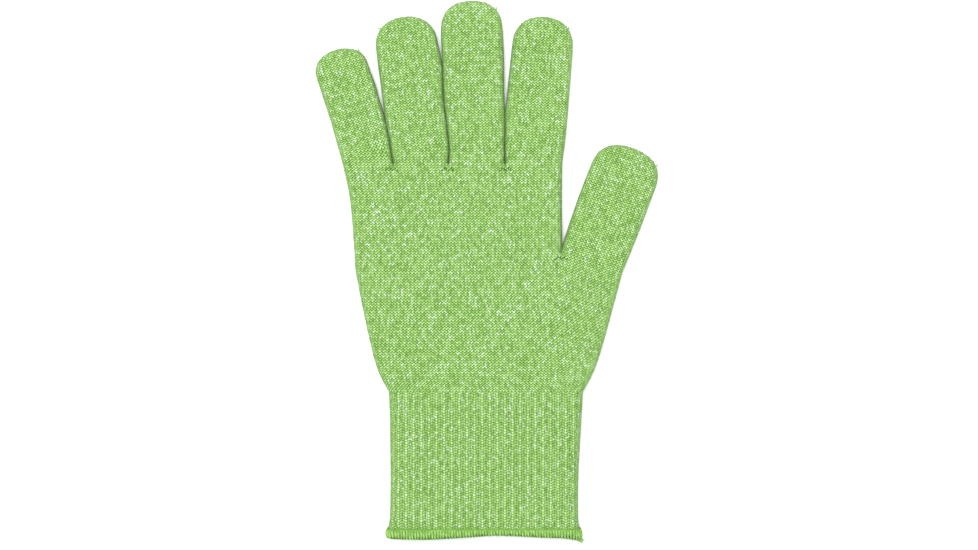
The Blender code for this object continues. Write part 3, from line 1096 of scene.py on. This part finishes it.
def make_fork_stitch(name, fork, across, outline, material):
    """Short uneven stitches that close the fork, just below it."""
    random = np.random.default_rng(SEED + 2)
    across = np.array(across)
    down = np.array([across[1], -across[0]])
    lines = []
    for step in np.linspace(-FORK_REACH, FORK_REACH, FORK_STITCHES):
        drop = FORK_DROP + FORK_CURVE * step**2 + random.uniform(-FORK_JITTER, FORK_JITTER)
        middle = np.array(fork) + across * step + down * drop
        slant = across * random.uniform(*FORK_SLANT_ACROSS)
        slant = slant + down * random.uniform(*FORK_SLANT_DOWN)
        places = np.array([middle - slant, middle, middle + slant])
        heights = surface_height(outline, places) + FORK_HEIGHTS
        lines.append(curve_through(np.column_stack([places, heights]), 4))
    piece = thread_piece(f"{name}_detail", lines, FORK_THREAD, material, sides=7)
    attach(piece, "palm")
    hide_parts(name)


def make_yarn_end(finger, material):
    """A short cut end of the yarn at the shoulder of the fingertip."""
    side = YARN_END_SIDES[finger.name]
    start = finger.rounded_end(side, YARN_END_ANGLE)
    outward = np.array([side * np.cos(YARN_END_ANGLE), np.sin(YARN_END_ANGLE)])
    sideways = np.array([-outward[1], outward[0]])
    local = [start + outward * out + sideways * aside for out, aside in YARN_END_REACH]
    heights = EDGE_HEIGHT + np.array(YARN_END_RISE)
    line = curve_through(np.column_stack([finger.world(np.array(local)), heights]), 5)
    radius = np.linspace(*YARN_END_RADIUS, len(line))
    piece = thread_piece(f"{finger.name}_yarn_nub", [line], radius, material)
    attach(piece, finger.bodies[-1])
    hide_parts(f"{finger.name}_yarn_end")


def make_elastic(material):
    """The elastic thread laid round inside the cuff as one long coil."""
    low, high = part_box("cuff_elastic")
    half_width = (high.x - low.x) / 2 - ELASTIC_RADIUS
    half_height = (high.z - low.z) / 2 - ELASTIC_RADIUS
    bend = np.linspace(-np.pi / 2, np.pi / 2, 9)
    across = half_width - half_height + half_height * np.cos(bend)
    right = np.column_stack([across, half_height * np.sin(bend)])
    ring = np.vstack([right, -right]) + ((low.x + high.x) / 2, (low.z + high.z) / 2)
    total = ELASTIC_TURNS * len(ring)
    x, z = np.tile(ring, (ELASTIC_TURNS, 1)).T
    y = mix(high.y - ELASTIC_RADIUS, low.y + ELASTIC_RADIUS, np.arange(total) / total)
    line = np.column_stack([x, y, z])
    spread = np.concatenate([[0.0], np.cumsum(np.linalg.norm(np.diff(line, axis=0), axis=1))])
    even = np.linspace(0, spread[-1], total * ELASTIC_STEPS)
    line = np.stack([np.interp(even, spread, line[:, i]) for i in range(3)], axis=1)
    piece = thread_piece("elastic_coil", [line], ELASTIC_RADIUS, material, sides=6)
    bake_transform(piece)
    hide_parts("cuff_elastic")


def make_hem_thread_end(material):
    """The tail of the overlock thread at the drooping corner."""
    low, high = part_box("hem_thread_end")
    height = (low.z + high.z) / 2
    points = ((0.0395, -0.1188, height), (low.x + 0.0012, -0.1197, height + 0.0003),
              (0.0420, -0.1201, height + 0.0001), (high.x - 0.0006, -0.1198, height - 0.0004),
              (high.x - 0.0004, -0.1190, height - 0.0002))
    piece = thread_piece("hem_thread_tail", [curve_through(points, 6)], TAIL_RADIUS, material)
    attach(piece, "cuff")
    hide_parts("hem_thread_end")


# ---------------------------------------------------------------- stage


def make_stage():
    bpy.ops.mesh.primitive_plane_add(size=FLOOR_SIZE)
    floor = bpy.context.object
    floor.name = "floor"
    floor.data.materials.append(floor_material())
    world = bpy.data.worlds.new("studio")
    world.use_nodes = True
    background = world.node_tree.nodes["Background"]
    background.inputs["Color"].default_value = (1.0, 1.0, 1.0, 1.0)
    background.inputs["Strength"].default_value = SKY_STRENGTH
    bpy.context.scene.world = world
    light = bpy.data.lights.new("overhead", "AREA")
    light.shape = "DISK"
    light.size = LAMP_SIZE
    light.energy = LAMP_POWER
    lamp = bpy.data.objects.new("overhead", light)
    lamp.location = LAMP_PLACE
    lamp.rotation_euler = LAMP_TURN
    bpy.context.scene.collection.objects.link(lamp)
    bpy.context.scene.view_settings.view_transform = "Standard"


def make_camera():
    data = bpy.data.cameras.new("camera")
    data.lens = LENS
    data.sensor_width = SENSOR
    camera = bpy.data.objects.new("camera", data)
    camera.location = (*VIEW_CENTRE, SUBJECT_HEIGHT + VIEW_WIDTH * LENS / SENSOR)
    bpy.context.scene.collection.objects.link(camera)
    bpy.context.scene.camera = camera


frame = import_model()

knit = knit_material("green_knit", ribbed=False)
rib_knit = knit_material("green_rib_knit", ribbed=True)
hem_thread = thread_material("hem_thread_green", linear(114, 154, 70), linear(154, 198, 110))
# The band's colours are darker than the thread's: painted shade under the overlock
hem_band = band_material("hem_band_painted_shade", linear(88, 130, 50), linear(122, 168, 78))
# Dark green thread for the fork stitches, also used for the chain along the hem's edge, where its
# darkness is painted shade
dark_thread = thread_material("fork_thread_green", linear(44, 84, 20), linear(76, 122, 42))
yarn_thread = thread_material("yarn_end_green", linear(120, 164, 84), linear(176, 216, 140))
elastic = thread_material("elastic_cream", linear(206, 210, 178), linear(232, 234, 210))

shapes = {name: FingerShape(name, frame["joints"]) for name in FINGERS}
edge_line = glove_outline(shapes)
make_palm(shapes, edge_line, knit)
first_column = 0
for finger_shape in shapes.values():
    make_finger(finger_shape, edge_line, knit, first_column)
    make_yarn_end(finger_shape, yarn_thread)
    first_column += finger_shape.shape.wales
make_cuff(edge_line, rib_knit)
make_hem(edge_line, hem_band, hem_thread, dark_thread)
make_hem_thread_end(hem_thread)
make_elastic(elastic)
for stitch, (fork_point, heading) in FORKS.items():
    make_fork_stitch(stitch, fork_point, heading, edge_line, dark_thread)

make_stage()
make_camera()
